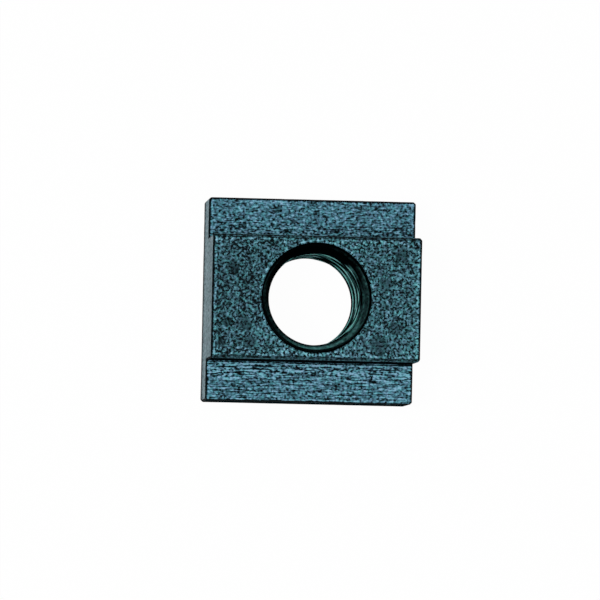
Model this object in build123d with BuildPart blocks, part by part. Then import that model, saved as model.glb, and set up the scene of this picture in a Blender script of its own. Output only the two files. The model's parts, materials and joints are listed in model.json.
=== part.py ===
"""T slot nut: one steel block of inverted T section, tapped along its height.

The frame has its origin at the middle of the base's underside, on the axis of the
tapped hole. X runs along the slot that the nut slides in, Y across it, and Z up
through the neck. All sizes are in millimetres.
"""

import os
from math import radians, tan

from build123d import *

# Body
nut_length = 23.0  # along the slot
base_width = 22.5  # across the slot, under its lips
base_thickness = 8.0  # underside of the base to the shoulders
neck_width = 13.65  # runs in the slot's throat, which is 14 wide
overall_height = 16.0  # underside of the base to the top of the neck

# Edges
root_radius = 0.4  # in the corner where each shoulder meets the neck
neck_chamfer = 0.28  # along the two long top edges of the neck
base_edge_radius = 0.25  # along the four long edges of the base
end_chamfer = 0.15  # round the outline of both sawn ends

# Tapped hole
thread_diameter = 12.0
thread_pitch = 1.75
core_drop_per_pitch = 1.0825  # major less minor diameter of an ISO thread, in pitches
lead_in_margin = 0.15  # the lead-in's mouth is this much wider than the thread
lead_in_angle = 40.0  # included angle of the long cone at the top
exit_margin = 0.1  # the bottom countersink's mouth is this much wider
exit_angle = 120.0  # included angle of the countersink at the bottom

core_radius = (thread_diameter - core_drop_per_pitch * thread_pitch) / 2
lead_in_radius = (thread_diameter + lead_in_margin) / 2
exit_radius = (thread_diameter + exit_margin) / 2
exit_depth = (exit_radius - core_radius) / tan(radians(exit_angle / 2))

with BuildPart() as t_slot_nut:
    # The T section, seen along the slot, with its long edges already finished
    with BuildSketch(Plane.YZ) as section:
        Rectangle(base_width, base_thickness, align=(Align.CENTER, Align.MIN))
        Rectangle(neck_width, overall_height, align=(Align.CENTER, Align.MIN))
        shoulder_row = section.vertices().filter_by_position(
            Axis.Y, base_thickness, base_thickness
        )
        fillet(shoulder_row.sort_by(Axis.X)[1:-1], radius=root_radius)
        base_corners = (
            section.vertices().sort_by(Axis.X)[:2] + section.vertices().sort_by(Axis.X)[-2:]
        )
        fillet(base_corners, radius=base_edge_radius)
        neck_corners = section.vertices().group_by(Axis.Y)[-1]
        chamfer(neck_corners, length=neck_chamfer)
    extrude(amount=nut_length / 2, both=True)

    # The ends are sawn square and deburred all round
    end_faces = t_slot_nut.faces().filter_by(Axis.X)
    chamfer(end_faces.edges(), length=end_chamfer)

    # Drilled to the thread's core through the whole height, with a long lead-in at
    # the top for the stud and a shallow countersink underneath
    with Locations((0, 0, overall_height)):
        CounterSinkHole(
            radius=core_radius,
            counter_sink_radius=lead_in_radius,
            counter_sink_angle=lead_in_angle,
        )
    Cone(
        bottom_radius=exit_radius,
        top_radius=core_radius,
        height=exit_depth,
        align=(Align.CENTER, Align.CENTER, Align.MIN),
        mode=Mode.SUBTRACT,
    )

t_slot_nut.part.label = "t_slot_nut"

os.makedirs("parts", exist_ok=True)
export_step(t_slot_nut.part, "parts/t_slot_nut.step")
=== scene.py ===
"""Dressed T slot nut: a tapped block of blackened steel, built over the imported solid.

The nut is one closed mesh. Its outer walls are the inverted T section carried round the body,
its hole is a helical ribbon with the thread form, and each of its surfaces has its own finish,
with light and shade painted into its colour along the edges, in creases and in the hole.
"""

import json
import logging
from collections.abc import Iterable, Mapping
from dataclasses import dataclass, replace
from enum import Enum
from math import cos, pi, radians, sin, tan
from typing import Any

import bmesh
import bpy
import numpy as np
import numpy.typing as npt
from mathutils import Matrix, Vector


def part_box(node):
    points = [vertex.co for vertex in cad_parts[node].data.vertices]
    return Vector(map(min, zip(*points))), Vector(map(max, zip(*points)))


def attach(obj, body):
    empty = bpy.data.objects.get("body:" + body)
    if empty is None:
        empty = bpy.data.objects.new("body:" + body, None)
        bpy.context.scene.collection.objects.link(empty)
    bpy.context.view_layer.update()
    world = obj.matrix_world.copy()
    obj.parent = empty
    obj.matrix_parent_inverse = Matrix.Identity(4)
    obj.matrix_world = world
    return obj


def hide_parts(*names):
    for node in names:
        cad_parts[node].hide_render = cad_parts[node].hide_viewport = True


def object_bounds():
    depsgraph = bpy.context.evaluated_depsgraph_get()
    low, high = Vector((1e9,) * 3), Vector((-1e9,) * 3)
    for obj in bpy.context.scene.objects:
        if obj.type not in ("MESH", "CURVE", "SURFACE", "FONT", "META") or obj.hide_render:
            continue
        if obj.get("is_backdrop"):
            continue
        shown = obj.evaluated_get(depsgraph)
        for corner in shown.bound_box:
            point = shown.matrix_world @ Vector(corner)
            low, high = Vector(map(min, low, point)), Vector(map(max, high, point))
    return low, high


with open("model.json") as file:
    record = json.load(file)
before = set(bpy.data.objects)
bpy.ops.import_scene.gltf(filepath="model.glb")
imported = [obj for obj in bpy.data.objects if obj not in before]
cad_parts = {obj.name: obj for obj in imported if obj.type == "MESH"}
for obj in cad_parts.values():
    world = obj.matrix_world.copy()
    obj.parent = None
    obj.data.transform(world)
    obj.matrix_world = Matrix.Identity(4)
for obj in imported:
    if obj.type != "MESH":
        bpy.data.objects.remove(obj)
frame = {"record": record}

Array = npt.NDArray[np.float64]
Labels = npt.NDArray[np.int32]
Triple = tuple[float, float, float]
Tones = tuple[tuple[float, Triple], ...]

MM = 0.001
SLIVER = 0.01
ONES: Triple = (1.0, 1.0, 1.0)
ZEROS: Triple = (0.0, 0.0, 0.0)
LOG = logging.getLogger("t_slot_nut")


class Region(Enum):
    """Surfaces of the nut that have a finish of their own, numbered as material slots."""

    NECK_TOP = 0
    FRONT_SHOULDER = 1
    BACK_SHOULDER = 2
    FLANK = 3
    END = 4
    NECK_BREAK = 5
    ROUNDED_EDGE = 6
    LEAD_IN = 7
    THREAD = 8
    UNDERSIDE = 9


class Feature(Enum):
    """Features whose distance, in millimetres, is stored on the mesh under this name."""

    END_EDGE = "end_edge_mm"
    SIDE_EDGE = "side_edge_mm"
    RIM = "rim_mm"
    ROOT = "root_mm"
    CREST = "crest_mm"
    FOOT = "foot_mm"


# Helpers for surfaces and objects


def eased(steps: int) -> Array:
    """Places from 0 to 1 that crowd at both ends.

    Formula: half of one minus the cosine of an even turn from 0 to 180 degrees.

    Args:
        steps: Number of spaces between the places.

    Returns:
        The steps + 1 places.
    """
    return (1 - np.cos(np.linspace(0, pi, steps + 1))) / 2


def blended_maximum(first: Array, second: Array, width: float) -> Array:
    """The larger of two radii, with the corner between them rounded off outwards.

    Formula: the maximum, plus the square of what the difference lacks to the width, over four widths.

    Args:
        first: One radius at each point.
        second: The other radius at each point.
        width: Difference under which the corner is rounded.

    Returns:
        The joined radius at each point.
    """
    short = np.clip(width - np.abs(first - second), 0, None)
    return np.maximum(first, second) + short**2 / (4 * width)


@dataclass(frozen=True)
class Ripple:
    """A smooth uneven field in space, from about -1 to 1, made of waves in all directions.

    The shortest and the longest wave are shares of the wavelength.
    """

    wavelength: float
    seed: int
    waves: int = 24
    shortest: float = 0.6
    longest: float = 1.8
    gain: float = 3.0

    def at(self, points: Array) -> Array:
        """The field's value at some points.

        Formula: the gain times the mean of sine waves with seeded directions, lengths and phases.

        Args:
            points: Positions, one a row.

        Returns:
            The value at each point.
        """
        dice = np.random.default_rng(self.seed)
        ways = dice.normal(size=(3, self.waves))
        ways /= np.linalg.norm(ways, axis=0)
        lengths = self.wavelength * dice.uniform(self.shortest, self.longest, self.waves)
        phases = dice.uniform(0, 2 * pi, self.waves)
        return self.gain * np.sin(points @ (2 * pi * ways / lengths) + phases).mean(axis=1)


@dataclass
class Patch:
    """A grid of points over part of the nut, rows by columns.

    Attributes:
        points: Positions, shaped (rows, columns, 3).
        regions: Region number of each cell, or one number for all of them.
        closed: Whether the last column joins the first.
    """

    points: Array
    regions: Labels | int
    closed: bool = False

    def cells(self) -> npt.NDArray[np.int64]:
        """The grid's four-sided cells.

        Returns:
            The corner numbers of each cell, row by row.
        """
        rows, columns = self.points.shape[:2]
        number = np.arange(rows * columns).reshape(rows, columns)
        if self.closed:
            number = np.hstack([number, number[:, :1]])
        corners = [number[:-1, :-1], number[1:, :-1], number[1:, 1:], number[:-1, 1:]]
        return np.stack(corners, axis=-1).reshape(-1, 4)

    def cell_regions(self) -> Labels:
        """The regions of the cells.

        Returns:
            The region number of each cell, in the order of cells().
        """
        rows, columns = self.points.shape[:2]
        shape = (rows - 1, columns if self.closed else columns - 1)
        return np.broadcast_to(np.asarray(self.regions, np.int32), shape).reshape(-1)


def closed_mesh(name: str, patches: list[Patch], weld: float) -> bpy.types.Mesh:
    """Joins patches that meet at their borders into one closed mesh with outward faces.

    Formula: a cell is a sliver, and left out, where the cross product of its diagonals is shorter than
    SLIVER times the square of the weld distance.

    Args:
        name: Name of the mesh.
        patches: Patches that leave no gap between them.
        weld: Distance under which two points become one.

    Returns:
        The mesh, with each face's material number set to its region's.
    """
    counts = [patch.points.shape[0] * patch.points.shape[1] for patch in patches]
    starts = np.concatenate([[0], np.cumsum(counts)[:-1]])
    points = np.concatenate([patch.points.reshape(-1, 3) for patch in patches])
    cells = np.concatenate([patch.cells() + start for patch, start in zip(patches, starts)])
    regions = np.concatenate([patch.cell_regions() for patch in patches])
    corners = points[cells]
    across = np.cross(corners[:, 2] - corners[:, 0], corners[:, 3] - corners[:, 1])
    kept = np.linalg.norm(across, axis=1) > SLIVER * weld**2
    mesh = bpy.data.meshes.new(name)
    mesh.from_pydata(points.tolist(), [], cells[kept].tolist())
    mesh.polygons.foreach_set("material_index", regions[kept])
    work = bmesh.new()
    work.from_mesh(mesh)
    bmesh.ops.remove_doubles(work, verts=work.verts, dist=weld)
    loose = [point for point in work.verts if not point.link_faces]
    bmesh.ops.delete(work, geom=loose, context="VERTS")
    bmesh.ops.recalc_face_normals(work, faces=work.faces)
    open_edges = sum(1 for edge in work.edges if len(edge.link_faces) != 2)
    work.to_mesh(mesh)
    work.free()
    if open_edges:
        raise ValueError(f"{name} has {open_edges} edges without two faces")
    return mesh


def placed(data: bpy.types.ID) -> bpy.types.Object:
    """Puts a mesh, a lamp or a camera into the scene.

    Args:
        data: The mesh, lamp or camera.

    Returns:
        Its object, of the same name.
    """
    thing = bpy.data.objects.new(data.name, data)
    bpy.context.scene.collection.objects.link(thing)
    return thing


# Form of the nut


@dataclass(frozen=True)
class NutSizes:
    """Main sizes of the nut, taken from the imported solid, in metres."""

    half_length: float
    half_base: float
    height: float
    shoulder_height: float
    half_neck: float
    core_radius: float

    @classmethod
    def of_node(cls, node: str, record: Mapping[str, Any]) -> "NutSizes":
        """Reads the sizes from the node's box and the record's mounts.

        Args:
            node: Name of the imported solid's node.
            record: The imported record.

        Returns:
            The sizes.
        """
        low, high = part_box(node)
        mounts = {mount["name"]: mount for mount in record["mounts"]}
        return cls(
            half_length=(high.x - low.x) / 2,
            half_base=(high.y - low.y) / 2,
            height=high.z - low.z,
            shoulder_height=mounts["shoulder_back"]["pos_m"][2],
            half_neck=mounts["neck_back"]["pos_m"][1],
            core_radius=mounts["thread"]["dims"]["r_mm"] * MM,
        )


@dataclass(frozen=True)
class TeeSection:
    """Half of the inverted T section, from the neck's top edge down to the underside."""

    sizes: NutSizes
    neck_break: float = 0.28 * MM
    break_power: float = 1.6
    break_taper: float = 0.5
    root_radius: float = 0.4 * MM
    base_radius: float = 0.25 * MM
    bow: float = 3.6 * MM
    arc_steps: int = 6
    neck_steps: int = 20
    shoulder_steps: int = 16
    flange_steps: int = 18

    def arc(self) -> tuple[Array, Array]:
        """Sine and cosine of a quarter turn, as columns of rows."""
        turn = np.linspace(0, pi / 2, self.arc_steps + 1)[:, None]
        return np.sin(turn), np.cos(turn)

    def outline(self, inset: Array) -> tuple[Array, Array, Array, Labels]:
        """The half outline, drawn in by each inset.

        Formula: seven runs end to end. An arc is a centre plus a radius times the sine and cosine of a
        quarter turn, and a flat goes straight to the next arc. An inset moves the flats inwards, shrinks
        the outer arcs and grows the root's, all by itself. The neck's edge is a chamfer with soft ends:
        its sine and cosine are raised to a power, and it loses only a share of the inset.

        Args:
            inset: Insets, one for each column.

        Returns:
            Distance from the middle, height and bow, each by row and column, and the region of each row.
        """
        inset = inset[None, :]
        sine, cosine = self.arc()
        steps = (self.neck_steps, self.shoulder_steps, self.flange_steps)
        down, out, low = (eased(count)[1:-1, None] for count in steps)
        neck, base = self.sizes.half_neck - inset, self.sizes.half_base - inset
        top, shoulder = self.sizes.height - inset, self.sizes.shoulder_height - inset
        soft = self.neck_break - self.break_taper * inset
        root, corner = self.root_radius + inset, self.base_radius - inset
        root_y, root_z = neck + root, shoulder + root
        side_y, side_z = base - corner, shoulder - corner
        break_y, break_z = soft * sine**self.break_power, soft * cosine**self.break_power
        level = np.zeros_like(inset)
        runs = (
            (Region.NECK_BREAK, neck - soft + break_y, top - soft + break_z, level),
            (Region.FLANK, neck, top - soft + down * (root_z - top + soft), level),
            (Region.BACK_SHOULDER, root_y - root * cosine, root_z - root * sine, level),
            (Region.BACK_SHOULDER, root_y + out * (side_y - root_y), shoulder, self.bow * out),
            (Region.BACK_SHOULDER, side_y + corner * sine, side_z + corner * cosine, level + self.bow),
            (Region.FLANK, base, side_z + low * (inset + corner - side_z), self.bow * (1 - low)),
            (Region.ROUNDED_EDGE, side_y + corner * cosine, inset + corner - corner * sine, level),
        )
        grids = [np.broadcast_arrays(*run[1:]) for run in runs]
        regions = [np.full(len(grid[0]), run[0].value, np.int32) for grid, run in zip(grids, runs)]
        distance, height, bow = (np.concatenate(values) for values in zip(*grids))
        return distance, height, bow, np.concatenate(regions)


@dataclass(frozen=True)
class TappedBore:
    """The through hole: a right-hand thread, a lead-in cone above it and a countersink below it.

    The crest's half flat and the flank are shares of the pitch.
    """

    sizes: NutSizes
    pitch: float = 1.75 * MM
    half_crest: float = 1 / 8
    flank: float = 5 / 16
    major_radius: float = 6.0 * MM
    lead_in_radius: float = 6.075 * MM
    lead_in_half_angle: float = radians(20)
    exit_radius: float = 6.05 * MM
    exit_half_angle: float = radians(60)
    rim_break: float = 0.05 * MM
    joint: float = 0.03 * MM
    rows_per_pitch: int = 16

    def thread_radius(self, phase: Array) -> Array:
        """Radius of the thread form.

        Formula: away from the crest's middle, in shares of the pitch, it keeps the core's radius over the
        half crest, climbs straight to the major radius over the flank and keeps that up to the half pitch.

        Args:
            phase: Height above a crest's middle, in shares of the pitch.

        Returns:
            The radius at each phase.
        """
        away = np.abs((phase + 0.5) % 1 - 0.5)
        climb = np.clip((away - self.half_crest) / self.flank, 0, 1)
        return self.sizes.core_radius + climb * (self.major_radius - self.sizes.core_radius)

    def wall_radius(self, angle: Array, height: Array) -> Array:
        """Radius of the finished wall.

        Formula: the larger of the thread's radius and the cones', with a soft joint. A cone's radius is the
        one at its rim, less the distance from the rim's plane times the tangent of its half angle.

        Args:
            angle: Angle round the hole from +X.
            height: Height above the underside.

        Returns:
            The radius at each point.
        """
        thread = self.thread_radius(height / self.pitch - angle / (2 * pi))
        lead_in = self.lead_in_radius - (self.sizes.height - height) * tan(self.lead_in_half_angle)
        countersink = self.exit_radius - height * tan(self.exit_half_angle)
        return blended_maximum(thread, np.maximum(lead_in, countersink), self.joint)

    def ribbon(self, columns: int) -> Patch:
        """The wall as a ribbon whose rows climb with the thread.

        Formula: a point's angle is its column's share of a turn, and its height is its row's share of the
        pitch plus the climb over that angle, held between the two rims. Its radius is the wall's.

        Args:
            columns: Number of columns in a turn.

        Returns:
            The ribbon, whose last column meets the first one turn higher.
        """
        low, high = self.rim_break, self.sizes.height - self.rim_break
        last = int(self.rows_per_pitch * high / self.pitch) + 2
        row = np.arange(-self.rows_per_pitch - 1, last + 1)[:, None]
        angle = np.linspace(0, 2 * pi, columns + 1)[None, :]
        height = np.clip(self.pitch * (row / self.rows_per_pitch + angle / (2 * pi)), low, high)
        radius = self.wall_radius(angle, height)
        points = np.stack([radius * np.cos(angle), radius * np.sin(angle), height], axis=-1)
        middle = (height[:-1, :-1] + height[1:, 1:]) / 2
        depth = (self.lead_in_radius - self.sizes.core_radius) / tan(self.lead_in_half_angle)
        regions = np.where(middle > self.sizes.height - depth, Region.LEAD_IN.value, Region.THREAD.value)
        return Patch(points, regions.astype(np.int32))


@dataclass(frozen=True)
class HandlingWear:
    """Small dents along the edges and unevenness of the flats, all of it inwards."""

    edge_depth: float = 0.05 * MM
    edge_reach: float = 0.3 * MM
    dent_floor: float = 0.3
    flat_depth: float = 0.006 * MM
    dents: Ripple = Ripple(1.9 * MM, 14)
    sway: Ripple = Ripple(6 * MM, 15)

    def depth(self, points: Array, edge_distance: Array) -> Array:
        """How far each point is moved inwards.

        Formula: the part of a short ripple above its floor, fading with the distance from an edge, plus a
        small share of a longer ripple.

        Args:
            points: Positions, one a row.
            edge_distance: Distance of each from the nearest outer edge.

        Returns:
            The depth at each point, never below zero.
        """
        dents = np.clip(self.dents.at(points) - self.dent_floor, 0, 1)
        sway = (1 + np.clip(self.sway.at(points), -1, 1)) / 2
        return self.edge_depth * dents * np.exp(-edge_distance / self.edge_reach) + self.flat_depth * sway


@dataclass(frozen=True)
class NutBody:
    """The threaded nut body: outer walls, flats and tapped hole in one closed mesh."""

    sizes: NutSizes
    section: TeeSection
    bore: TappedBore
    wear: HandlingWear
    end_break: float = 0.15 * MM
    corner_radius: float = 0.35 * MM
    corner_fade: float = 0.5 * MM
    sharp_angle: float = radians(35)
    side_steps: int = 80
    end_steps: int = 40
    flat_steps: int = 14
    weld: float = 0.0002 * MM

    def side_places(self) -> Array:
        """Places along the slot of the columns on a long side, eased from end to end."""
        return (self.sizes.half_length - self.end_break) * (1 - 2 * eased(self.side_steps))

    def end_shares(self) -> Array:
        """Shares across the slot of the columns on an end, evenly from 1 to -1."""
        return np.linspace(1, -1, self.end_steps + 1)

    def end_arc(self) -> tuple[Array, Array]:
        """How far the end's break goes along the slot and inwards, over a quarter circle."""
        sine, cosine = self.section.arc()
        return self.end_break * sine[:, 0], self.end_break * (1 - cosine[:, 0])

    def loop(self) -> tuple[Array, Array, Array]:
        """The columns round the body, from the corner at +X and +Y over +Y, -X, -Y and +X.

        Formula: on a side the distance along the slot is eased from end to end. At a corner it goes round a
        quarter circle of the end's break, and the inset is what that circle lacks. On an end the share
        across goes evenly from 1 to -1. The second half is the first one turned by 180 degrees.

        Returns:
            Distance along the slot, inset and share across the slot of each column.
        """
        side, share = self.side_places(), self.end_shares()
        forward, inward = (values[1:-1] for values in self.end_arc())
        over = side[-1] - forward
        along = np.concatenate([side, over, np.full(share.size, -self.sizes.half_length), over[::-1]])
        end_inset = np.full(share.size, self.end_break)
        inset = np.concatenate([0 * side, inward, end_inset, inward[::-1]])
        across = np.concatenate([0 * side + 1, 0 * over + 1, share, 0 * over - 1])
        return np.append(along, -along), np.append(inset, inset), np.append(across, -across)

    def wall(self) -> Patch:
        """The outer wall: the section's outline carried round the body.

        Formula: the distance from the middle is the outline's times the sine of the share across, and the
        height is the outline's less its bow times one minus the share's square, so that on an end the
        shoulder's rows spread downwards over the flat.

        Returns:
            The closed wall.
        """
        along, inset, across = self.loop()
        out, height, bow, row_regions = self.section.outline(inset)
        y = out * np.sin(across * pi / 2)
        z = height - bow * (1 - across**2)
        points = np.stack([np.broadcast_to(along, y.shape), y, z], axis=-1)
        flat_end = (np.abs(across) < 1) | (np.abs(np.roll(across, -1)) < 1)
        broken = (inset > 0) | (np.roll(inset, -1) > 0)
        regions = np.repeat(row_regions[:-1, None], across.size, axis=1)
        front = (regions == Region.BACK_SHOULDER.value) & (across < 0)
        regions[front] = Region.FRONT_SHOULDER.value
        regions[:, broken] = Region.ROUNDED_EDGE.value
        regions[:, flat_end] = Region.END.value
        return Patch(points, regions, closed=True)

    def end_strip(self, row: int, side: int) -> Patch:
        """The rounded edge between an end and the neck's top (row 0) or the underside (row -1).

        Formula: the outline's point at that row, drawn in along a quarter circle, is carried across with the
        sine of the share across.

        Args:
            row: Row of the outline that the strip starts from.
            side: -1 for the end at -X, 1 for the one at +X.

        Returns:
            The strip.
        """
        forward, inset = self.end_arc()
        out, height, _, _ = self.section.outline(inset)
        along = side * (self.side_places()[0] + forward)
        y = out[row][:, None] * np.sin(self.end_shares() * pi / 2)
        x, z = (np.broadcast_to(values[:, None], y.shape) for values in (along, height[row]))
        return Patch(np.stack([x, y, z], axis=-1), Region.ROUNDED_EDGE.value)

    def flat(self, row: int, region: Region) -> Patch:
        """The neck's top (row 0) or the underside (row -1), from the hole's rim to its four edges.

        Formula: each column starts on the wall of the hole, goes over the rim on a quarter circle and then
        straight, in eased steps, to its place on the flat's border.

        Args:
            row: Row of the outline that borders the flat.
            region: Region of the flat.

        Returns:
            The closed ring.
        """
        out, height, _, _ = self.section.outline(np.zeros(1))
        side = self.side_places()[:-1]
        end = np.sin(self.end_shares()[:-1] * pi / 2)
        border_x = np.concatenate([side, np.full(end.size, -side[0])])
        border_y = out[row, 0] * np.concatenate([np.ones(side.size), end])
        half_border = np.stack([border_x, border_y], axis=-1)
        border = np.concatenate([half_border, -half_border])
        level, outward = height[row, 0], 1 if row == 0 else -1
        start = pi * self.end_steps / (2 * (self.end_steps + self.side_steps))
        angle = start + np.arange(len(border)) * 2 * pi / len(border)
        rim = self.bore.wall_radius(angle, np.full(angle.size, level - outward * self.bore.rim_break))
        sine, cosine = self.section.arc()
        radius = rim + self.bore.rim_break * (1 - cosine)
        ring = np.stack([radius * np.cos(angle), radius * np.sin(angle)], axis=-1)
        flat = ring[-1] + eased(self.flat_steps)[1:, None, None] * (border - ring[-1])
        rise = level - outward * self.bore.rim_break * (1 - sine)
        heights = np.concatenate([rise[:, 0], np.full(self.flat_steps, level)])
        plan = np.concatenate([ring, flat])
        z = np.broadcast_to(heights[:, None], plan.shape[:2])[..., None]
        return Patch(np.concatenate([plan, z], axis=-1), region.value, closed=True)

    def distances(self, points: Array) -> dict[Feature, Array]:
        """How far each point is from the nut's features.

        Formula: the side edges are the lines along the body at the section's outer corners, and the root is
        the one at its inner corner. The end edges are the T outlines of both ends, taken to the nearest of
        their straight sides. The rims are the hole's two circles, a crest is its core radius, and the foot
        is the plane of the underside.

        Args:
            points: Positions, one a row.

        Returns:
            The distance at each point, by feature.
        """
        s = self.sizes
        along, across, height = np.abs(points[:, 0]), np.abs(points[:, 1]), points[:, 2]
        middle = np.hypot(points[:, 0], points[:, 1])
        tee_y = [0.0, s.half_neck, s.half_neck, s.half_base, s.half_base, 0.0]
        tee_z = [s.height, s.height, s.shoulder_height, s.shoulder_height, 0.0, 0.0]
        tee = np.stack([tee_y, tee_z], axis=-1)
        lines = tee[[1, 3, 4]]
        from_lines = np.hypot(across[:, None] - lines[:, 0], height[:, None] - lines[:, 1]).min(axis=1)
        start, run = tee[:-1], tee[1:] - tee[:-1]
        spot = np.stack([across, height], axis=-1)[:, None, :] - start
        share = np.clip((spot * run).sum(-1) / (run**2).sum(-1), 0, 1)
        from_tee = np.linalg.norm(spot - share[..., None] * run, axis=-1).min(axis=1)
        return {
            Feature.END_EDGE: np.hypot(s.half_length - along, from_tee),
            Feature.SIDE_EDGE: from_lines,
            Feature.RIM: np.minimum(
                np.hypot(middle - self.bore.lead_in_radius, s.height - height),
                np.hypot(middle - self.bore.exit_radius, height),
            ),
            Feature.ROOT: np.hypot(across - s.half_neck, height - s.shoulder_height),
            Feature.CREST: np.abs(middle - s.core_radius),
            Feature.FOOT: height,
        }

    def rounded(self, points: Array) -> Array:
        """The points with the upright corners of the neck and of the base rounded.

        Formula: in the square that a corner's radius spans, a point's distances from the inner corner are
        scaled by the larger of them over their hypotenuse, which makes the square a quarter disc. At the
        foot of the neck this fades out.

        Args:
            points: Positions, one a row.

        Returns:
            The moved positions.
        """
        s = self.sizes
        above = np.clip((points[:, 2] - s.shoulder_height) / self.corner_fade, 0, 1)
        half_width = np.where(above > 0, s.half_neck, s.half_base)
        across = np.minimum(np.abs(points[:, 1]), half_width) - half_width
        out = np.stack([np.abs(points[:, 0]) - s.half_length, across], axis=-1) + self.corner_radius
        out = np.clip(out, 0, None)
        away = np.hypot(out[:, 0], out[:, 1])
        lack = 1 - np.divide(out.max(axis=1), away, out=np.ones_like(away), where=away > 0)
        lack *= np.where(above > 0, above, 1) * (out.min(axis=1) > 0)
        moved = points.copy()
        moved[:, :2] -= np.sign(points[:, :2]) * out * lack[:, None]
        return moved

    def build(self) -> bpy.types.Object:
        """Makes the nut body, rounded and worn, with its distances from the features as attributes.

        Returns:
            The nut body, linked to the scene.
        """
        patches = [self.wall(), self.flat(0, Region.NECK_TOP), self.flat(-1, Region.UNDERSIDE)]
        patches += [self.end_strip(row, side) for row in (0, -1) for side in (-1, 1)]
        patches.append(self.bore.ribbon(2 * (self.side_steps + self.end_steps)))
        mesh = closed_mesh("threaded_nut_body", patches, self.weld)
        count = len(mesh.vertices)
        points, normals = np.empty(3 * count), np.empty(3 * count)
        mesh.vertices.foreach_get("co", points)
        mesh.vertices.foreach_get("normal", normals)
        points, normals = points.reshape(-1, 3), normals.reshape(-1, 3)
        distances = self.distances(points)
        nearest = np.stack([distances[each] for each in (Feature.END_EDGE, Feature.SIDE_EDGE, Feature.RIM)])
        worn = self.rounded(points) - normals * self.wear.depth(points, nearest.min(axis=0))[:, None]
        mesh.vertices.foreach_set("co", worn.ravel())
        for feature, values in distances.items():
            mesh.attributes.new(feature.value, "FLOAT", "POINT").data.foreach_set("value", values / MM)
        mesh.polygons.foreach_set("use_smooth", np.ones(len(mesh.polygons), bool))
        mesh.set_sharp_from_angle(angle=self.sharp_angle)
        mesh.update()
        return placed(mesh)

    def dress(self, body: bpy.types.Object, finishes: "Mapping[Region, BlackenedSteel]") -> None:
        """Gives the body one material for each region, in the order of the material slots."""
        for region in Region:
            # Every finish paints shade and highlights into its colour, along with the oxide.
            body.data.materials.append(finishes[region].make(f"blackened_{region.name.lower()}"))


# Shader maths


class Signal:
    """One shader socket that takes part in Python arithmetic."""

    def __init__(self, graph: "Graph", socket: bpy.types.NodeSocket) -> None:
        """Wraps a socket of the graph's node tree."""
        self.graph = graph
        self.socket = socket

    def _maths(self, operation: str, *operands: "Signal | float") -> "Signal":
        """The output of a new Math node with these operands."""
        return self.graph.signal("ShaderNodeMath", "Value", dict(enumerate(operands)), operation=operation)

    def __add__(self, other: "Signal | float") -> "Signal":
        """Sum."""
        return self._maths("ADD", self, other)

    def __sub__(self, other: "Signal | float") -> "Signal":
        """Difference."""
        return self._maths("SUBTRACT", self, other)

    def __rsub__(self, other: float) -> "Signal":
        """Difference from a number."""
        return self._maths("SUBTRACT", other, self)

    def __mul__(self, other: "Signal | float") -> "Signal":
        """Product."""
        return self._maths("MULTIPLY", self, other)

    __radd__ = __add__
    __rmul__ = __mul__

    def at_most(self, other: "Signal | float") -> "Signal":
        """The smaller of the two."""
        return self._maths("MINIMUM", self, other)

    def at_least(self, other: "Signal | float") -> "Signal":
        """The larger of the two."""
        return self._maths("MAXIMUM", self, other)

    def step(self, low: float, high: float) -> "Signal":
        """A smooth step from 0 at low to 1 at high, which falls where low is the larger."""
        sockets = {0: self, 1: low, 2: high}
        return self.graph.signal("ShaderNodeMapRange", "Result", sockets, interpolation_type="SMOOTHSTEP")

    def sine(self) -> "Signal":
        """Sine."""
        return self._maths("SINE", self)

    def hill(self, centre: float, width: float) -> "Signal":
        """A smooth hill of 1 at centre that is 0 beyond the width on both sides."""
        return self.step(centre - width, centre) * self.step(centre + width, centre)


class Graph:
    """A node tree that shader expressions add their nodes to."""

    def __init__(self, tree: bpy.types.NodeTree) -> None:
        """Empties the tree and starts on it."""
        self.tree = tree
        tree.nodes.clear()

    def add(self, kind: str, sockets: Mapping[Any, Any], **settings: Any) -> bpy.types.Node:
        """Adds one node.

        Args:
            kind: The node's type.
            sockets: Values or links of its inputs, by number or name.
            **settings: Its properties, set first; stops are a colour ramp's places and colours.

        Returns:
            The node.
        """
        node = self.tree.nodes.new(kind)
        for name, value in settings.items():
            if name == "stops":
                self._set_stops(node.color_ramp, value)
            else:
                setattr(node, name, value)
        for key, value in sockets.items():
            source = value.socket if isinstance(value, Signal) else value
            if isinstance(source, bpy.types.NodeSocket):
                self.tree.links.new(source, node.inputs[key])
            else:
                node.inputs[key].default_value = source
        return node

    def _set_stops(self, ramp: bpy.types.ColorRamp, stops: Iterable[tuple[float, Triple]]) -> None:
        """Gives a colour ramp its stops.

        Args:
            ramp: The ramp.
            stops: Places and colours.
        """
        stops = list(stops)
        while len(ramp.elements) < len(stops):
            ramp.elements.new(1.0)
        for element, (place, colour) in zip(ramp.elements, stops):
            element.position = place
            element.color = (*colour, 1.0)

    def signal(self, kind: str, output: str, sockets: Mapping[Any, Any], **settings: Any) -> Signal:
        """One output of a new node, for arithmetic."""
        return Signal(self, self.add(kind, sockets, **settings).outputs[output])

    def attribute(self, name: str) -> Signal:
        """A number stored on the mesh."""
        return self.signal("ShaderNodeAttribute", "Fac", {}, attribute_name=name)

    def place(self, scale: Triple = ONES, offset: Triple = ZEROS) -> Signal:
        """Object coordinates in millimetres, stretched and moved.

        Args:
            scale: Factor along each axis.
            offset: Shift along each axis, after scaling.

        Returns:
            The vector.
        """
        where = self.add("ShaderNodeTexCoord", {}).outputs["Object"]
        sockets = {0: where, 1: tuple(factor / MM for factor in scale), 2: offset}
        return self.signal("ShaderNodeVectorMath", "Vector", sockets, operation="MULTIPLY_ADD")

    def along(self, direction: Triple) -> Signal:
        """How far a point lies along a direction, in millimetres, times the direction's length."""
        sockets = {0: self.place(), 1: direction}
        return self.signal("ShaderNodeVectorMath", "Value", sockets, operation="DOT_PRODUCT")
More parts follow.
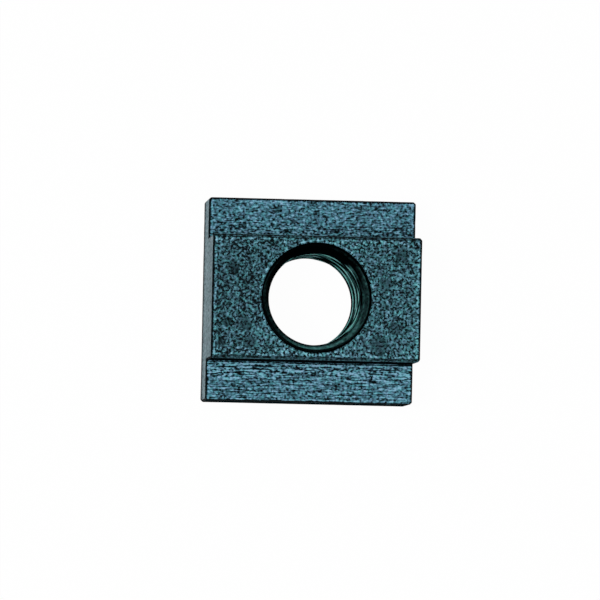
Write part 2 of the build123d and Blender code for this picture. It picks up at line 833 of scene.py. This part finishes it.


# Finishes, with light and shade painted into their colours


# Colours from thick black oxide to thin pale oxide, and the place among them of a tone of 1
TONE_REACH = 0.8
OXIDE_TONES: Tones = (
    (0.0, (0.0006, 0.002, 0.0025)),
    (0.16, (0.0026, 0.008, 0.0098)),
    (0.29, (0.0185, 0.052, 0.0645)),
    (0.43, (0.039, 0.105, 0.131)),
    (0.57, (0.063, 0.172, 0.216)),
    (0.745, (0.087, 0.233, 0.291)),
    (0.83, (0.118, 0.3, 0.364)),
    (0.93, (0.18, 0.395, 0.47)),
)
BORE_TONES: Tones = (
    (0.0, (0.0003, 0.0008, 0.001)),
    (0.16, (0.003, 0.0075, 0.008)),
    (0.36, (0.013, 0.037, 0.038)),
    (0.56, (0.043, 0.14, 0.137)),
    (0.8, (0.11, 0.33, 0.325)),
    (0.95, (0.19, 0.45, 0.44)),
)
END_TONES: Tones = (
    (0.0, (0.0013, 0.003, 0.004)),
    (0.16, (0.006, 0.0125, 0.015)),
    (0.36, (0.034, 0.067, 0.08)),
    (0.56, (0.078, 0.142, 0.168)),
    (0.8, (0.15, 0.25, 0.295)),
)


@dataclass(frozen=True)
class Mottle:
    """Fractal noise over the nut, mostly between 0.3 and 0.7.

    Attributes:
        offset: Where the pattern starts, so that no two patterns repeat each other.
        scale: Features a millimetre.
        detail: Finer layers on top of the first.
        roughness: Strength of a finer layer, as a share of the one before.
        stretch: Factor along each axis, before the scale.
    """

    offset: Triple
    scale: float = 1.0
    detail: float = 1.0
    roughness: float = 0.5
    stretch: Triple = ONES

    def draw(self, graph: Graph) -> Signal:
        """The noise at each point, from a new node of the graph."""
        sockets = {
            "Vector": graph.place(self.stretch, self.offset),
            "Scale": self.scale,
            "Detail": self.detail,
            "Roughness": self.roughness,
        }
        return graph.signal("ShaderNodeTexNoise", "Fac", sockets)

    def swing(self, graph: Graph, reach: float) -> Signal:
        """The noise around zero, times a reach."""
        return (self.draw(graph) - 0.5) * reach


# Grain, short tool marks and long ones, and what brings their noise to about -1 to 1
GRAIN = Mottle((3.1, 7.7, 1.3), 3.1)
DASHES = Mottle((1.9, 3.8, 5.7), stretch=(2.9, 6.0, 6.0))
STREAKS = Mottle((6.3, 12.6, 18.9), stretch=(0.45, 6.0, 6.0))
MARK_REACH = 4.0
# How the bands waver, and by how many bands at most
WAVER = Mottle((2.7, 5.1, 0.4), 0.3)
WAVER_BANDS = 1.5
# Broad patches, and pits where the noise rises from the first value to the second
CLOUDS = Mottle((9.2, 0.6, 4.4), 0.35, 2.0)
PITS = Mottle((5.5, 2.2, 8.8), 4.2, 0.0)
PIT_EDGE = (0.58, 0.68)
# Patches of colour, greenest under the first value and bluest over the second
HUES = Mottle((7.4, 3.6, 2.1), 2.4, 2.0, 0.6)
HUE_PLACES = (0.36, 0.64)
# Ragged border of a stain, its place in shares of the radius, and how far a stain calms the marks and
# lowers the tone
STAIN_BORDER = Mottle(ZEROS, 1.3, 3.0, 0.6, (1.0, 1.0, 0.0))
STAIN_RAG = 1.6
STAIN_EDGE = (1.15, 0.75)
STAIN_CALM = 0.6
STAIN_DEPTH = 0.16


@dataclass(frozen=True)
class Line:
    """A dark or light line along a feature of the nut.

    Attributes:
        feature: Feature that the line follows.
        place: Distance of the line's middle from the feature, in millimetres.
        width: Distance from the line's middle to where it ends, in millimetres.
        strength: What the line adds to the tone.
        towards: Direction in which the line grows from nothing at the hole's axis, its length being the
            growth over a millimetre, so that it paints light or shade on one side as the lamp would, or
            zeros for an even line.
    """

    feature: Feature
    place: float
    width: float
    strength: float
    towards: Triple = ZEROS

    def draw(self, graph: Graph) -> Signal:
        """What the line adds at each point.

        Args:
            graph: Graph of the material.

        Returns:
            The addition.
        """
        line = graph.attribute(self.feature.value).hill(self.place, self.width) * self.strength
        if any(self.towards):
            line = line * graph.along(self.towards).at_least(0.0)
        return line


@dataclass(frozen=True)
class BlackenedSteel:
    """A blackened steel surface: mottled oxide over the marks of the tool that cut it.

    Attributes:
        level: Middle of the tone, from 0 for thick black oxide to 1 for thin pale oxide; on the walls, the
            rounded edges and in the hole it is set low as painted shade.
        spread: How far the grain and the tool marks move the tone.
        mottles: The grain and the tool marks, each with its share.
        bands: Share of the even, wavering bands.
        band_step: Bands a millimetre along each axis.
        pits: How far scattered black pits move the tone.
        cloud: How far broad patches move the tone.
        lines: Lines along the features; most paint shade and highlights along the edges, in creases and in
            the hole.
        accents: Lines along which the marks are stronger, the strength being their added share.
        stains: Smooth dark patches: place along X, place along Y and radius of each, in millimetres.
        fade: Direction in which the tone falls, its length being the fall over a millimetre; in the hole it
            paints the shade on the back (+Y) side.
        fade_start: Where the fall starts, in millimetres along the direction times its length.
        tones: Places and colours of the ramp, on which TONE_REACH stands for a tone of 1.
        hues: What the colours are multiplied by in the greenest and in the bluest places.
        metallic: Metallic share.
        specular: Specular level of the oxide.
        roughness: Roughness of black and of pale places.
        relief: Height of the bumps, in millimetres.
        relief_strength: Share of the bumps that is shaded.
    """

    level: float = 0.5
    spread: float = 0.5
    mottles: tuple[tuple[Mottle, float], ...] = ((GRAIN, 1.0),)
    bands: float = 0.0
    band_step: Triple = (0.09, -0.05, 0.31)
    pits: float = 0.25
    cloud: float = 0.25
    lines: tuple[Line, ...] = ()
    accents: tuple[Line, ...] = ()
    stains: tuple[Triple, ...] = ()
    fade: Triple = ZEROS
    fade_start: float = 0.0
    tones: Tones = OXIDE_TONES
    hues: tuple[Triple, Triple] = ((0.78, 1.02, 0.92), (1.2, 0.98, 1.05))
    metallic: float = 0.25
    specular: float = 0.05
    roughness: tuple[float, float] = (0.8, 0.6)
    relief: float = 0.01
    relief_strength: float = 0.5

    def marks(self, graph: Graph) -> Signal:
        """Grain and tool marks together.

        Formula: the sum of the noises around zero, each times its share, plus the sine of a turn for each
        band, whose border wavers.

        Args:
            graph: Graph of the material.

        Returns:
            The marks, about -1 to 1.
        """
        total = sum(mottle.swing(graph, MARK_REACH * share) for mottle, share in self.mottles)
        if self.bands:
            turns = graph.along(self.band_step) + WAVER.draw(graph) * WAVER_BANDS
            total = total + (turns * (2 * pi)).sine() * self.bands
        return total

    def stained(self, graph: Graph) -> Signal | float:
        """Where the stains lie.

        Formula: the distance from each stain's middle in shares of its radius, plus a noise that makes the
        border ragged, steps down from 1 to 0.

        Args:
            graph: Graph of the material.

        Returns:
            1 inside the stains and 0 outside them.
        """
        if not self.stains:
            return 0.0
        plan = graph.place(STAIN_BORDER.stretch)
        ragged = STAIN_BORDER.swing(graph, STAIN_RAG)
        inside: Signal | float = 0.0
        for x, y, radius in self.stains:
            ends = {0: plan, 1: (x, y, 0.0)}
            away = graph.signal("ShaderNodeVectorMath", "Value", ends, operation="DISTANCE")
            inside = (away * (1 / radius) + ragged).step(*STAIN_EDGE) + inside
        return inside

    def tone(self, graph: Graph) -> tuple[Signal, Signal]:
        """The tone of the surface and the height of its relief.

        Formula: the height is the marks times their spread, less the pits. The tone is the level plus the
        height, calmed and lowered in the stains, plus the clouds and the lines, less the fade.

        Args:
            graph: Graph of the material.

        Returns:
            The tone, about 0 to 1, and the height, about -1 to 1.
        """
        stain = self.stained(graph)
        gain: Signal | float = self.spread
        for line in self.accents:
            gain = line.draw(graph) + gain
        height = self.marks(graph) * gain - PITS.draw(graph).step(*PIT_EDGE) * self.pits
        tone = self.level + height * (1 - STAIN_CALM * stain) - STAIN_DEPTH * stain
        tone = tone + CLOUDS.swing(graph, self.cloud)
        for line in self.lines:
            tone = tone + line.draw(graph)
        if any(self.fade):
            tone = tone - (graph.along(self.fade) - self.fade_start).at_least(0.0)
        return tone, height

    def make(self, name: str) -> bpy.types.Material:
        """Builds the material.

        Args:
            name: Name of the material.

        Returns:
            The material.
        """
        material = bpy.data.materials.new(name)
        material.use_nodes = True
        graph = Graph(material.node_tree)
        tone, height = self.tone(graph)
        ramp = graph.add("ShaderNodeValToRGB", {"Fac": tone * TONE_REACH}, stops=self.tones)
        hue = graph.add("ShaderNodeValToRGB", {"Fac": HUES.draw(graph)}, stops=zip(HUE_PLACES, self.hues))
        factors = {0: ramp.outputs["Color"], 1: hue.outputs["Color"]}
        colour = graph.signal("ShaderNodeVectorMath", "Vector", factors, operation="MULTIPLY")
        black, pale = self.roughness
        relief = {"Strength": self.relief_strength, "Distance": self.relief * MM, "Height": height}
        surface = {
            "Base Color": colour,
            "Metallic": self.metallic,
            "Roughness": black + tone.at_least(0.0).at_most(1.0) * (pale - black),
            "Specular IOR Level": self.specular,
            "Normal": graph.add("ShaderNodeBump", relief).outputs["Normal"],
        }
        shader = graph.add("ShaderNodeBsdfPrincipled", surface)
        graph.add("ShaderNodeOutputMaterial", {"Surface": shader.outputs["BSDF"]})
        return material


# Painted shade along the ends' edges: a dark line at the edge, and a painted highlight as a light line just
# inside it.
END_EDGE_SHADE_AND_HIGHLIGHT = (Line(Feature.END_EDGE, 0.13, 0.14, -0.9), Line(Feature.END_EDGE, 0.4, 0.17, 0.24))
SHOULDER = BlackenedSteel(
    level=0.68,
    spread=0.73,
    mottles=((GRAIN, 0.4), (DASHES, 0.65), (STREAKS, 0.35)),
    pits=0.4,
    cloud=0.08,
    # Painted shade as a dark line along the outer side edges, with a painted highlight just inside it.
    lines=(*END_EDGE_SHADE_AND_HIGHLIGHT, Line(Feature.SIDE_EDGE, 0.12, 0.15, -1.1), Line(Feature.SIDE_EDGE, 0.4, 0.15, 0.22)),
    accents=(Line(Feature.ROOT, 0.7, 1.2, 0.4),),
    fade=(0.006, 0.0, 0.0),
    hues=((0.76, 1.0, 0.98), (1.22, 0.98, 1.12)),
)
FINISHES: dict[Region, BlackenedSteel] = {
    Region.NECK_TOP: BlackenedSteel(
        level=0.567,
        spread=0.52,
        mottles=((replace(GRAIN, scale=3.9), 1.0),),
        pits=1.1,
        cloud=0.15,
        # Painted shade and highlights: a dark line at each edge, a light line just inside it, and a light
        # ring round the hole's rim.
        lines=(
            Line(Feature.END_EDGE, 0.12, 0.13, -0.8),
            Line(Feature.END_EDGE, 0.38, 0.2, 0.4),
            Line(Feature.SIDE_EDGE, 0.3, 0.08, -0.5),
            Line(Feature.SIDE_EDGE, 0.5, 0.15, 0.15),
            Line(Feature.RIM, 0.2, 0.12, 0.3),
        ),
        accents=(Line(Feature.SIDE_EDGE, 0.8, 0.6, 0.25),),
        stains=(
            (6.9, -5.2, 1.1), (8.8, -3.2, 0.75), (7.6, 1.5, 0.8), (9.3, 4.8, 0.8), (-9.3, 3.1, 0.8),
            (-7.8, -3.1, 0.7), (-9.8, -2.9, 0.6), (-7.2, -5.0, 0.8), (-10.3, -5.1, 0.5),
        ),
        fade=(-0.009, 0.003, 0.0),
    ),
    Region.BACK_SHOULDER: SHOULDER,
    Region.FRONT_SHOULDER: replace(
        SHOULDER,
        level=0.72,
        spread=0.7,
        mottles=((GRAIN, 0.4), (DASHES, 0.65), (STREAKS, 0.8)),
        cloud=0.05,
        # Painted light and shade: dark lines at the edges with painted highlights just inside them, painted
        # shade on the lower half of the front edge's round and in the crease at the neck's foot, and a
        # painted highlight just beyond that crease.
        lines=(
            *END_EDGE_SHADE_AND_HIGHLIGHT,
            Line(Feature.SIDE_EDGE, 0.1, 0.09, -1.2),
            Line(Feature.FOOT, 7.75, 0.15, -1.5),
            Line(Feature.SIDE_EDGE, 0.3, 0.15, 0.15),
            Line(Feature.FOOT, 8.4, 0.3, -1.5),
            Line(Feature.ROOT, 0.16, 0.07, -0.9),
            Line(Feature.ROOT, 0.28, 0.14, 0.5),
        ),
        accents=(Line(Feature.ROOT, 0.8, 1.6, 0.6),),
        fade=(-0.009, 0.0, 0.0),
    ),
    # Painted shade: the upright walls of neck and base get a near-black level, and a line darkens the neck's
    # wall further.
    Region.FLANK: replace(
        SHOULDER,
        level=0.16,
        spread=0.2,
        pits=0.1,
        cloud=0.1,
        lines=(Line(Feature.FOOT, 11.0, 4.0, -0.16),),
        accents=(),
        metallic=0.0,
        specular=0.0,
    ),
    Region.UNDERSIDE: replace(SHOULDER, level=0.5),
    Region.END: BlackenedSteel(
        level=0.78,
        spread=0.35,
        mottles=((GRAIN, 0.6), (replace(STREAKS, stretch=(5.0, 3.0, 0.5)), 0.5)),
        # Painted shade: a dark line at the edges, and a darkening over the lowest few millimetres towards
        # the floor.
        lines=(
            Line(Feature.END_EDGE, 0.12, 0.13, -0.9),
            Line(Feature.FOOT, 0.4, 3.0, -0.8),
            Line(Feature.FOOT, 5.7, 1.8, 0.1),
        ),
        tones=END_TONES,
        specular=0.12,
        roughness=(1.0, 0.5),
    ),
    Region.NECK_BREAK: BlackenedSteel(
        level=0.4,
        spread=0.3,
        # Painted light and shade on the neck's chamfer: a painted highlight along its lower half, and
        # painted shade along its upper half that grows towards the back (+Y).
        lines=(
            Line(Feature.FOOT, 15.74, 0.12, 0.25),
            Line(Feature.FOOT, 15.87, 0.09, -0.7, (0.0, 0.15, 0.0)),
        ),
        accents=(Line(Feature.FOOT, 15.85, 0.3, 0.3, (0.0, 0.15, 0.0)),),
    ),
    # Painted shade: the rounded edges get a near-black level.
    Region.ROUNDED_EDGE: BlackenedSteel(level=0.05, spread=0.2, cloud=0.0, metallic=0.0, specular=0.02),
    # Painted light and shade in the lead-in cone: a low level for the shade of the hole, dark and light
    # bands by the rim, lines that grow towards one side as the lamp lights it, a dark line at its foot where
    # it meets the thread, and a fade that blackens its back (+Y) side.
    Region.LEAD_IN: BlackenedSteel(
        level=0.37,
        spread=0.15,
        mottles=((GRAIN, 1.0), (replace(STREAKS, stretch=(0.3, 0.3, 1.8)), 0.9)),
        pits=0.1,
        lines=(
            Line(Feature.RIM, 0.3, 0.42, -1.2),
            Line(Feature.RIM, 1.05, 0.45, 0.2),
            Line(Feature.RIM, 1.05, 0.45, 0.25, (0.16, 0.06, 0.0)),
            Line(Feature.RIM, 1.0, 0.45, -0.45, (-0.06, -0.16, 0.0)),
            Line(Feature.RIM, 2.0, 0.5, 0.43, (0.05, -0.16, 0.0)),
            Line(Feature.RIM, 2.0, 0.5, 0.3, (-0.16, 0.0, 0.0)),
            Line(Feature.FOOT, 13.35, 0.35, -0.4),
        ),
        fade=(0.0, 0.16, 0.0),
        fade_start=0.16,
        tones=BORE_TONES,
        metallic=0.0,
        specular=0.0,
    ),
    # Painted light and shade in the thread: a level below zero for the shade of the hole, a light crest line
    # that is partly wear and partly a painted highlight, and a fade that darkens the upper turns towards the
    # back (+Y); the line at the foot makes it darker towards the underside.
    Region.THREAD: BlackenedSteel(
        level=-0.05,
        spread=0.8,
        mottles=((GRAIN, 0.2), (replace(STREAKS, stretch=(0.12, 0.12, 0.42)), 0.35)),
        bands=1.0,
        pits=0.0,
        lines=(Line(Feature.CREST, 0.03, 0.08, 0.8), Line(Feature.FOOT, 0.2, 0.9, -0.3)),
        fade=(0.0, 0.227, 0.22),
        fade_start=3.28,
        tones=BORE_TONES,
        metallic=0.0,
        specular=0.0,
    ),
}


# Studio


WHITE = (1.0, 1.0, 1.0, 1.0)


@dataclass(frozen=True)
class Studio:
    """A pale floor, one large soft lamp and an even surround, in metres and watts.

    The floor's mesh is rings of points, its shade is how much it reflects, and its white is the share of
    plain white in what the camera sees of it.
    """

    floor_rings: tuple[float, ...] = (1.5e-6, 0.015, 0.075, 0.3, 1.5)
    floor_steps: int = 96
    floor_drop: float = 0.01 * MM
    floor_shade: float = 0.85
    floor_white: float = 0.98
    surround: float = 0.22
    lamp_place: Triple = (-0.28, -0.04, 0.93)
    lamp_size: float = 0.3
    lamp_power: float = 7.2

    def backdrop_share(self, graph: Graph) -> Signal:
        """The rays that show the backdrop: camera, glossy and transmission rays.

        Args:
            graph: Graph of the floor or of the surround.

        Returns:
            1 for those rays and 0 for the others.
        """
        rays = graph.add("ShaderNodeLightPath", {}).outputs
        camera, glossy, through = (
            Signal(graph, rays[name]) for name in ("Is Camera Ray", "Is Glossy Ray", "Is Transmission Ray")
        )
        return camera.at_least(glossy).at_least(through)

    def build_floor(self) -> None:
        """Makes a pale disc that keeps the nut's shadow.

        Formula: circles of growing radius round the origin, each of evenly turned points.
        """
        angle = np.linspace(0, 2 * pi, self.floor_steps, endpoint=False)
        radius = np.array(self.floor_rings)[:, None]
        x, y = radius * np.cos(angle), radius * np.sin(angle)
        grid = Patch(np.stack([x, y, np.full(x.shape, -self.floor_drop)], axis=-1), 0, closed=True)
        mesh = bpy.data.meshes.new("floor")
        mesh.from_pydata(grid.points.reshape(-1, 3).tolist(), [], grid.cells().tolist())
        material = bpy.data.materials.new("pale_floor")
        material.use_nodes = True
        graph = Graph(material.node_tree)
        shade = self.floor_shade
        plain = graph.add("ShaderNodeBsdfDiffuse", {"Color": (shade, shade, shade, 1.0)})
        white = graph.add("ShaderNodeEmission", {"Color": WHITE, "Strength": 1.0})
        share = self.backdrop_share(graph) * self.floor_white
        sockets = {0: share, 1: plain.outputs["BSDF"], 2: white.outputs["Emission"]}
        mixed = graph.add("ShaderNodeMixShader", sockets)
        graph.add("ShaderNodeOutputMaterial", {"Surface": mixed.outputs["Shader"]})
        mesh.materials.append(material)
        floor = placed(mesh)
        floor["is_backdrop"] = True

    def build_surround(self) -> None:
        """Makes a world that is white to the camera and in reflections, and dimmer as a light."""
        world = bpy.data.worlds.new("surround")
        bpy.context.scene.world = world
        world.use_nodes = True
        graph = Graph(world.node_tree)
        strength = self.surround + self.backdrop_share(graph) * (1 - self.surround)
        light = graph.add("ShaderNodeBackground", {"Color": WHITE, "Strength": strength})
        graph.add("ShaderNodeOutputWorld", {"Surface": light.outputs["Background"]})

    def build_lamp(self) -> None:
        """Makes one large square lamp that points at the nut."""
        data = bpy.data.lights.new("soft_lamp", "AREA")
        data.shape = "SQUARE"
        data.size = self.lamp_size
        data.energy = self.lamp_power
        lamp = placed(data)
        lamp.location = self.lamp_place
        lamp.rotation_euler = (-Vector(self.lamp_place)).to_track_quat("-Z", "Y").to_euler()

    def build(self) -> None:
        """Sets up floor, surround and lamp, and plain colour handling."""
        self.build_floor()
        self.build_surround()
        self.build_lamp()
        bpy.context.scene.view_settings.view_transform = "Standard"


@dataclass(frozen=True)
class Viewpoint:
    """A long lens that looks down on the nut, a little from the front left.

    Angles are in degrees, azimuth 0 looks along +Y, and lens and sensor are in millimetres.
    """

    azimuth: float = -60.24
    elevation: float = 84.72
    roll: float = 1.184
    distance: float = 664.36 * MM
    target: Triple = (-1.193 * MM, 0.073 * MM, 8.0 * MM)
    lens: float = 360.0
    sensor: float = 36.0
    clip: tuple[float, float] = (0.01, 10.0)

    def build(self) -> bpy.types.Object:
        """Makes the scene's camera.

        Returns:
            The camera.
        """
        a, e, r = radians(self.azimuth), radians(self.elevation), radians(self.roll)
        back = Vector((sin(a) * cos(e), -cos(a) * cos(e), sin(e)))
        level = Vector((0, 1, 0)).cross(back).normalized()
        upright = back.cross(level)
        right = cos(r) * level + sin(r) * upright
        up = cos(r) * upright - sin(r) * level
        data = bpy.data.cameras.new("camera")
        data.sensor_width = self.sensor
        data.lens = self.lens
        data.clip_start, data.clip_end = self.clip
        camera = placed(data)
        place = Matrix.Translation(Vector(self.target) + back * self.distance)
        camera.matrix_world = place @ Matrix((right, up, back)).transposed().to_4x4()
        bpy.context.scene.camera = camera
        return camera


def main() -> None:
    """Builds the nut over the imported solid, then the studio and the camera."""
    logging.basicConfig(level=logging.INFO, format="%(name)s: %(message)s")
    packed_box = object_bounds()
    sizes = NutSizes.of_node("t_slot_nut", frame["record"])
    nut = NutBody(sizes, TeeSection(sizes), TappedBore(sizes), HandlingWear())
    body = nut.build()
    nut.dress(body, FINISHES)
    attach(body, "root")
    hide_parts("t_slot_nut")
    LOG.info("%s: %d points, %d faces", body.name, len(body.data.vertices), len(body.data.polygons))
    Studio().build()
    LOG.info("studio: floor, surround and lamp")
    camera = Viewpoint().build()
    LOG.info("%s: lens %.0f mm", camera.name, camera.data.lens)
    boxes = {"cad": packed_box, "visual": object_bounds()}
    {name: [list(corner) for corner in box] for name, box in boxes.items()}


if __name__ == "__main__":
    main()
